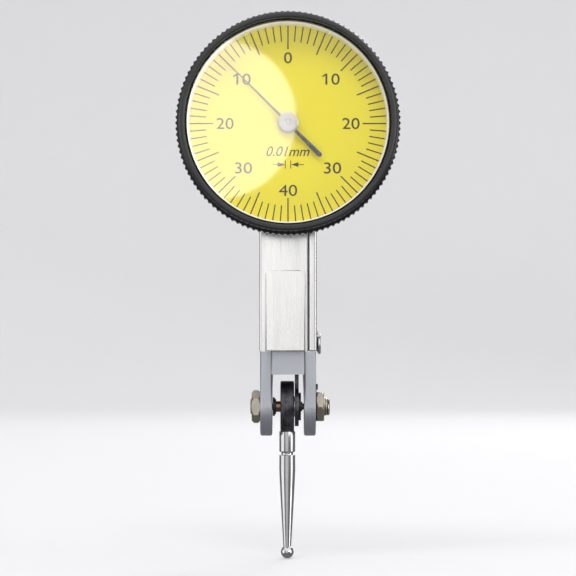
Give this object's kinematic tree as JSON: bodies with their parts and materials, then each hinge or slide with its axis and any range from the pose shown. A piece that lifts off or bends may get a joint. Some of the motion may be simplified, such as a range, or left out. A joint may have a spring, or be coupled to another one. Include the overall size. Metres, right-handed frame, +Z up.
{
  "type": "lever-type dial test indicator",
  "caption": "Slim lever-type dial test indicator: knurled black bezel over a yellow dial, satin body with dovetail rails, clevis and ball-ended stylus.",
  "frame": {"origin": "on the land of the back dovetail rail, halfway along it and in line with the dial's centre", "axes": "+Z up the body from the stylus to the dial, -Y out of the dial towards the reader, +X towards the cover plate"},
  "size_m": [0.034, 0.0196, 0.0833],
  "materials": {
    "satin_chrome": "satin, brushed along the body; the clevis is bead blasted",
    "bright_steel": "polished",
    "warm_nickel": "bright nickel plate with a warm tint",
    "black_steel": "blackened and brushed",
    "black_enamel": "gloss black on the knurl, satin turned face",
    "dial_yellow": "satin printed yellow",
    "ivory": "gloss ivory",
    "brass": "fine turned",
    "ruby": "polished",
    "crystal": "clear, polished"
  },
  "bodies": {
    "housing": {"frame": "satin_chrome", "side_cover": "satin_chrome", "cover_screws": "bright_steel", "collar_screw": "bright_steel", "dial_case": "bright_steel", "case_screws": "bright_steel", "bezel_spring_ring": "bright_steel", "hairspring": "bright_steel", "hairspring_stud": "bright_steel", "upper_bridge": "brass", "bridge_pillars": "brass", "bridge_screws": "bright_steel", "lower_bridge": "brass", "lower_bridge_screw": "bright_steel", "center_jewels": "ruby", "crown_jewels": "ruby", "sector_jewels": "ruby", "side_bridge": "brass", "side_bridge_pillars": "brass", "side_bridge_screws": "bright_steel", "return_spring": "bright_steel", "spring_post": "brass", "pivot_screw_left": "warm_nickel", "pivot_screw_right": "warm_nickel", "locknut_left": "warm_nickel", "locknut_right": "warm_nickel", "tab_washer": "black_steel"},
    "bezel_set": {"bezel": "black_enamel", "crystal": "crystal", "crystal_seal": "black_enamel", "dial_ring": "ivory", "dial_plate": "dial_yellow"},
    "pointer": {"hand": "black_steel", "hand_hub": "bright_steel", "hand_bush": "brass", "center_arbor": "bright_steel", "center_pinion": "brass", "hairspring_collet": "brass"},
    "crown_wheel": {"crown_gear": "brass", "crown_arbor": "bright_steel", "crown_pinion": "bright_steel"},
    "sector": {"sector_lever": "bright_steel", "sector_arbor": "bright_steel"},
    "lever": {"lever_plate": "black_steel", "drive_pin": "bright_steel", "lever_axle": "brass", "axle_collar": "black_steel", "lever_washer": "black_steel", "friction_washer": "bright_steel"},
    "stylus_set": {"stylus_holder": "black_steel", "stylus": "bright_steel", "stylus_ball": "bright_steel"}
  },
  "joints": [
    {"name": "bezel_turn", "type": "hinge", "parent": "housing", "child": "bezel_set", "pos_m": [0, -0.0062, 0.0209], "axis": [0, 1, 0], "continuous": true},
    {"name": "lever_swing", "type": "hinge", "parent": "housing", "child": "lever", "pos_m": [0, -0.0062, -0.022], "axis": [1, 0, 0], "range_deg": [-2.3, 2.3], "stiffness_Nm_per_rad": 0.168, "deforming": ["return_spring"]},
    {"name": "stylus_tilt", "type": "hinge", "parent": "lever", "child": "stylus_set", "pos_m": [0, -0.0062, -0.022], "axis": [1, 0, 0], "range_deg": [-120, 120]},
    {"name": "sector_swing", "type": "hinge", "parent": "housing", "child": "sector", "pos_m": [0, -0.0062, 0.00563], "axis": [1, 0, 0], "range_deg": [-4.3, 4.3]},
    {"name": "crown_spin", "type": "hinge", "parent": "housing", "child": "crown_wheel", "pos_m": [0, -0.0071, 0.0209], "axis": [1, 0, 0], "range_deg": [-68, 68]},
    {"name": "hand_spin", "type": "hinge", "parent": "housing", "child": "pointer", "pos_m": [0, -0.0062, 0.0209], "axis": [0, 1, 0], "range_deg": [-408, 408], "deforming": ["hairspring"]}
  ],
  "couplings": [
    {"joint": "sector_swing", "follows": "lever_swing", "ratio": -1.8333},
    {"joint": "crown_spin", "follows": "lever_swing", "ratio": 29.333},
    {"joint": "hand_spin", "follows": "lever_swing", "ratio": 176}
  ]
}
